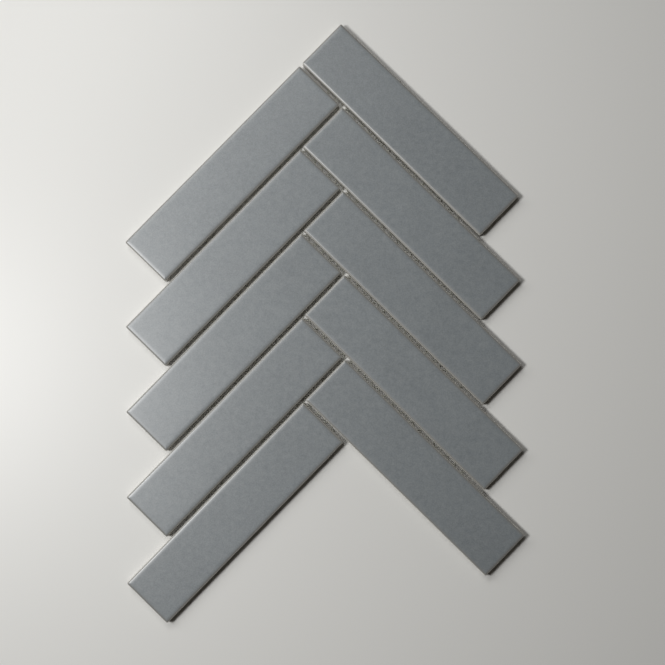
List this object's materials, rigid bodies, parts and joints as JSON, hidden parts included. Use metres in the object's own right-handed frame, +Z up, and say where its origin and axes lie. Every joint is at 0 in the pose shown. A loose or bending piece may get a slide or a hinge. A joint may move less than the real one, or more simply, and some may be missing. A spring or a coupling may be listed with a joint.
{
  "type": "herringbone mosaic tile sheet",
  "caption": "Herringbone mosaic tile sheet: long slate-blue glazed chips with softly rounded edges, set in a zigzag on an open backing mesh.",
  "frame": {"origin": "centre of the sheet's outline, on the underside of the backing mesh", "axes": "+Z up, out of the glazed face; +Y along the rows, towards the point of the zigzag; +X to the right as seen from above"},
  "size_m": [0.2306, 0.3486, 0.0064],
  "materials": {
    "glazed_chip": "satin slate-blue glaze with faint mottling",
    "backing_mesh": "matte resin coat over open glass-fibre mesh"
  },
  "bodies": {
    "root": {"tile_right_1": "glazed_chip", "tile_right_2": "glazed_chip", "tile_right_3": "glazed_chip", "tile_right_4": "glazed_chip", "tile_right_5": "glazed_chip", "tile_left_1": "glazed_chip", "tile_left_2": "glazed_chip", "tile_left_3": "glazed_chip", "tile_left_4": "glazed_chip", "tile_left_5": "glazed_chip", "backing_mesh_1": "backing_mesh", "backing_mesh_2": "backing_mesh", "backing_mesh_3": "backing_mesh", "backing_mesh_4": "backing_mesh", "backing_mesh_5": "backing_mesh", "backing_mesh_6": "backing_mesh"}
  },
  "joints": []
}
